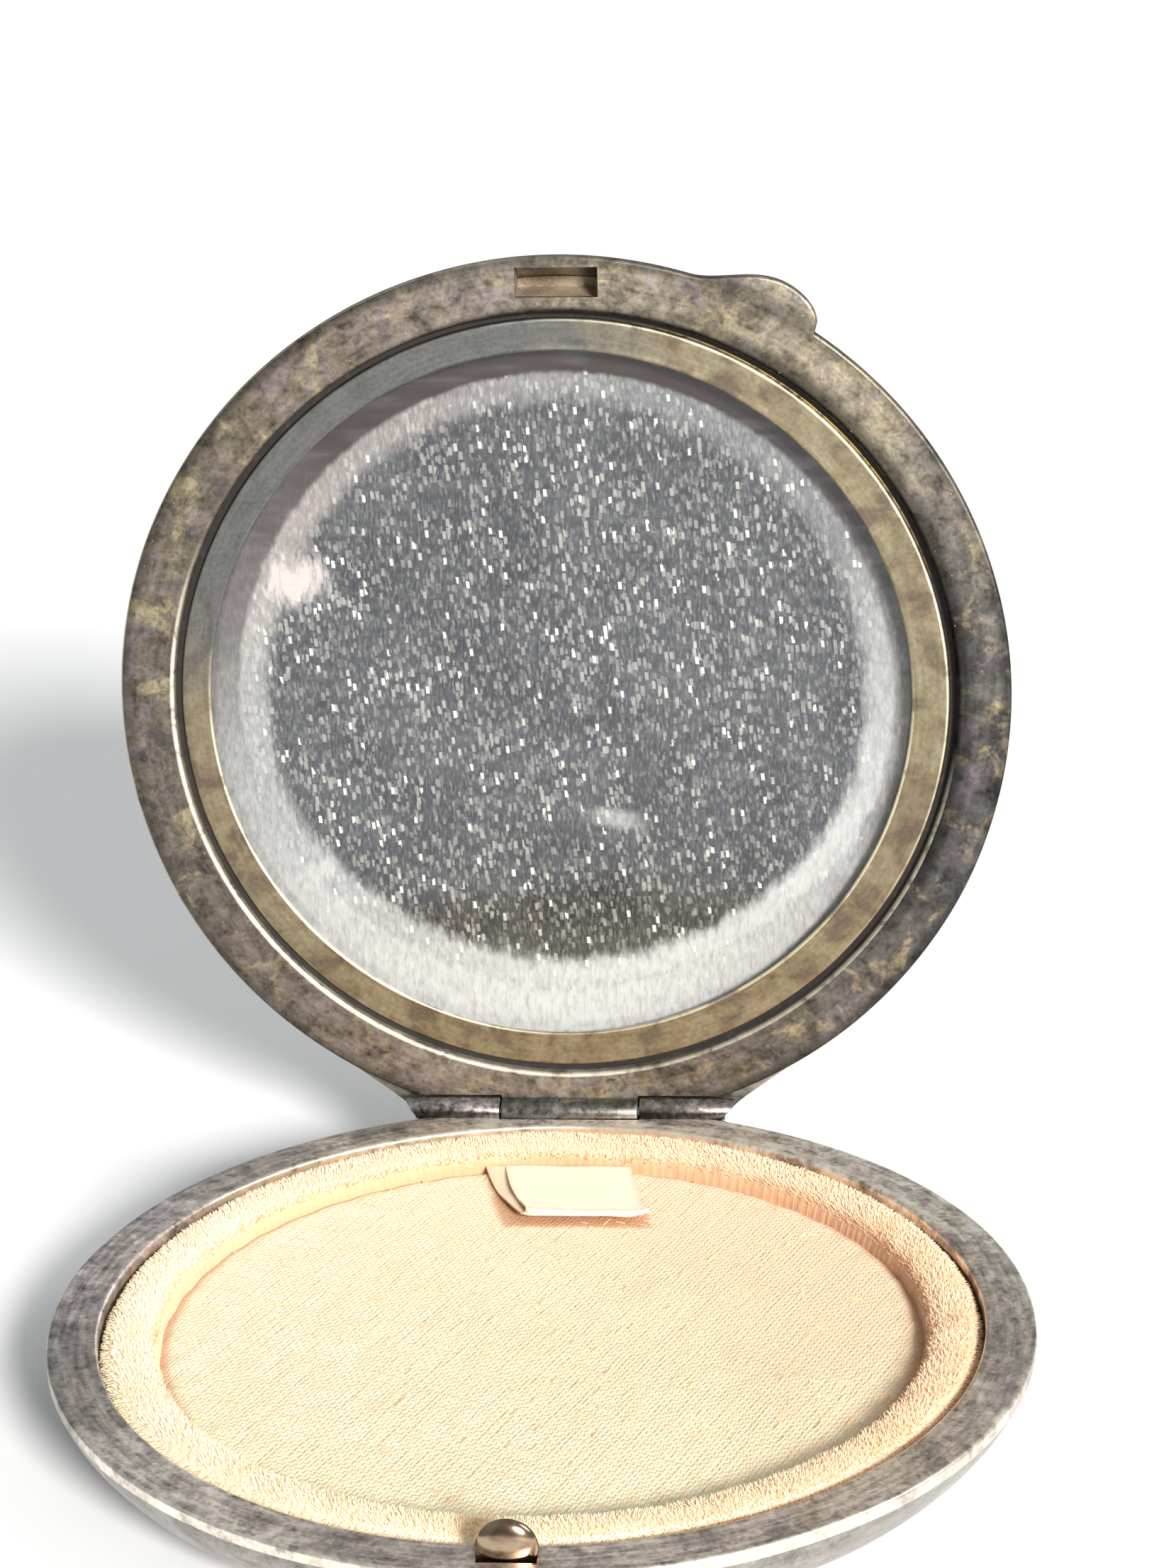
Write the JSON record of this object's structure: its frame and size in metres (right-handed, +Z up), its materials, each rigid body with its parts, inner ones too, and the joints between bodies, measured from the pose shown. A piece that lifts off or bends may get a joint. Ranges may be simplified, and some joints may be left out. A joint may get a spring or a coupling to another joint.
{
  "type": "powder compact",
  "caption": "Round silver powder compact: shallow base with gilt well and velour puff, hinged lid with a framed mirror, front bead catch and thumb piece.",
  "frame": {"origin": "centre of the flat foot that the base stands on", "axes": "+Z up, +Y towards the hinge at the back, -Y towards the catch at the front, +X to the right of someone facing the open mirror"},
  "size_m": [0.06, 0.0682, 0.0656],
  "materials": {
    "case_silver": "tarnished silver, worn satin",
    "base_rim_silver": "tarnished silver, purple-grey",
    "lid_rim_silver": "tarnished silver, brown-grey",
    "hinge_silver": "tarnished silver, rubbed bright",
    "hinge_pin_metal": "drawn wire",
    "gilt": "worn gilding",
    "pressed_powder": "pressed powder",
    "velour": "velour pile",
    "wadding": "cotton wadding",
    "puff_cloth": "plain woven cloth",
    "ribbon": "satin ribbon",
    "bead_metal": "polished gilt",
    "spring_metal": "rolled strip",
    "pocket_silver": "dark tarnish",
    "mirror_seat_gilt": "dark tarnish over gilding",
    "frame_gilt": "worn gilding with grey tarnish",
    "mirror_glass": "clear glass",
    "mirror_silver": "flecked and clouded silvering",
    "mirror_card": "brown card"
  },
  "bodies": {
    "base": {"base_pan": "case_silver", "base_rim": "base_rim_silver", "base_bearer": "hinge_silver", "base_knuckle_left": "hinge_silver", "base_knuckle_right": "hinge_silver", "hinge_pin": "hinge_pin_metal", "powder_well": "gilt", "powder_cake": "pressed_powder", "puff_velour": "velour", "puff_wadding": "wadding", "puff_disc": "puff_cloth", "puff_ribbon": "ribbon", "catch_pegs": "spring_metal"},
    "catch": {"catch_bead": "bead_metal", "catch_spring": "spring_metal"},
    "lid": {"lid_shell": "case_silver", "lid_rim": "lid_rim_silver", "lid_bearer": "hinge_silver", "lid_knuckle": "hinge_silver", "thumb_piece": "lid_rim_silver", "catch_pocket": "pocket_silver", "mirror_seat": "mirror_seat_gilt", "mirror_frame": "frame_gilt", "mirror_glass": "mirror_glass", "mirror_silvering": "mirror_silver", "mirror_card": "mirror_card"}
  },
  "joints": [
    {"name": "lid_hinge", "type": "hinge", "parent": "base", "child": "lid", "pos_m": [0, 0.0292, 0.0065], "axis": [-1, 0, 0], "range_deg": [-92.8, 0]},
    {"name": "catch_flex", "type": "slide", "parent": "base", "child": "catch", "axis": [0, -1, 0], "range_m": [0, 0.00025], "stiffness_N_per_m": 2000}
  ]
}
